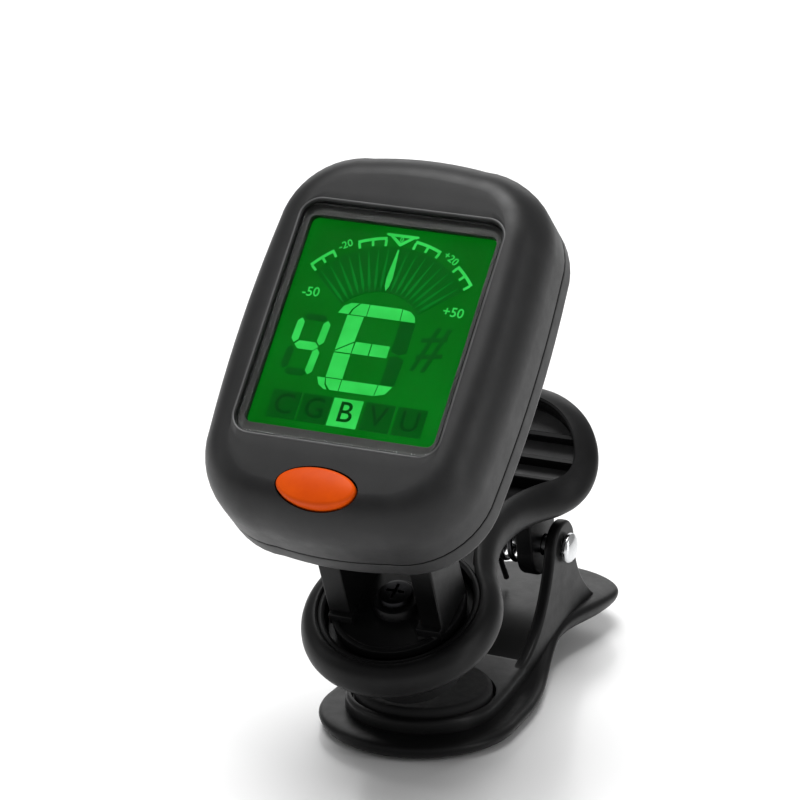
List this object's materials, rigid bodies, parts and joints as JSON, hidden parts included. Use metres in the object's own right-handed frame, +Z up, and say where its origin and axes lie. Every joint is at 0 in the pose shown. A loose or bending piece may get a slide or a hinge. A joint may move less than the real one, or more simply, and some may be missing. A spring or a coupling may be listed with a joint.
{
  "type": "clip-on instrument tuner",
  "caption": "Black clip-on instrument tuner with a green display, an orange power button and a sprung headstock clamp.",
  "frame": {"origin": "on the flat underside of the lower jaw, straight below the middle of the turntable", "axes": "+X to the right-hand side of the display, along the clamp pivot; +Y to the back, towards the finger tabs; +Z up, out of the lower pad"},
  "size_m": [0.04, 0.0871, 0.0792],
  "materials": {
    "case_black": "satin",
    "jaw_black": "satin",
    "pad_rubber": "matte",
    "window_clear": "polished",
    "screen_green": "glossy",
    "light_guide": "glossy",
    "connector_grey": "matte",
    "board_green": "satin",
    "chip_black": "matte",
    "button_orange": "satin",
    "steel": "satin",
    "chrome": "polished",
    "brass": "satin"
  },
  "bodies": {
    "clamp_base": {"lower_jaw": "jaw_black", "lower_pad": "pad_rubber", "pivot_pin": "chrome", "pin_clip": "steel", "torsion_spring": "steel"},
    "upper_lever": {"upper_jaw": "jaw_black", "upper_pad": "pad_rubber", "swivel_screw": "steel", "swivel_washer": "steel"},
    "neck": {"turntable": "jaw_black", "hinge_screw": "steel", "hinge_nut": "steel"},
    "head": {"front_shell": "case_black", "back_shell": "case_black", "window_lens": "window_clear", "lcd_panel": "screen_green", "lcd_backlight": "light_guide", "lcd_connector": "connector_grey", "circuit_board": "board_green", "tact_switch": "steel", "tuner_chip": "chip_black", "backlight_led_left": "light_guide", "backlight_led_right": "light_guide", "piezo_sensor": "brass", "battery_cell": "steel", "battery_contact_negative": "steel", "battery_contact_positive": "steel", "case_screw_1": "steel", "case_screw_2": "steel", "case_screw_3": "steel", "case_screw_4": "steel"},
    "button": {"power_button": "button_orange"},
    "door": {"battery_door": "case_black"}
  },
  "joints": [
    {"name": "clamp_open", "type": "hinge", "parent": "clamp_base", "child": "upper_lever", "pos_m": [0, 0.036, 0.0172], "axis": [-1, 0, 0], "range_deg": [0, 32], "stiffness_Nm_per_rad": 0.25, "springref_deg": -45.84, "deforming": ["torsion_spring"]},
    {"name": "swivel", "type": "hinge", "parent": "upper_lever", "child": "neck", "pos_m": [0, 0, 0.0205], "axis": [0, -0.4384, 0.8988], "continuous": true},
    {"name": "head_tilt", "type": "hinge", "parent": "neck", "child": "head", "pos_m": [0, -0.00789, 0.03668], "axis": [1, 0, 0], "range_deg": [-45, 60]},
    {"name": "button_press", "type": "slide", "parent": "head", "child": "button", "axis": [0, 0.7193, -0.6947], "range_m": [0, 0.0005], "stiffness_N_per_m": 300, "springref_m": -0.001},
    {"name": "door_slide", "type": "slide", "parent": "head", "child": "door", "axis": [0, 0.6947, 0.7193], "range_m": [0, 0.034]}
  ]
}
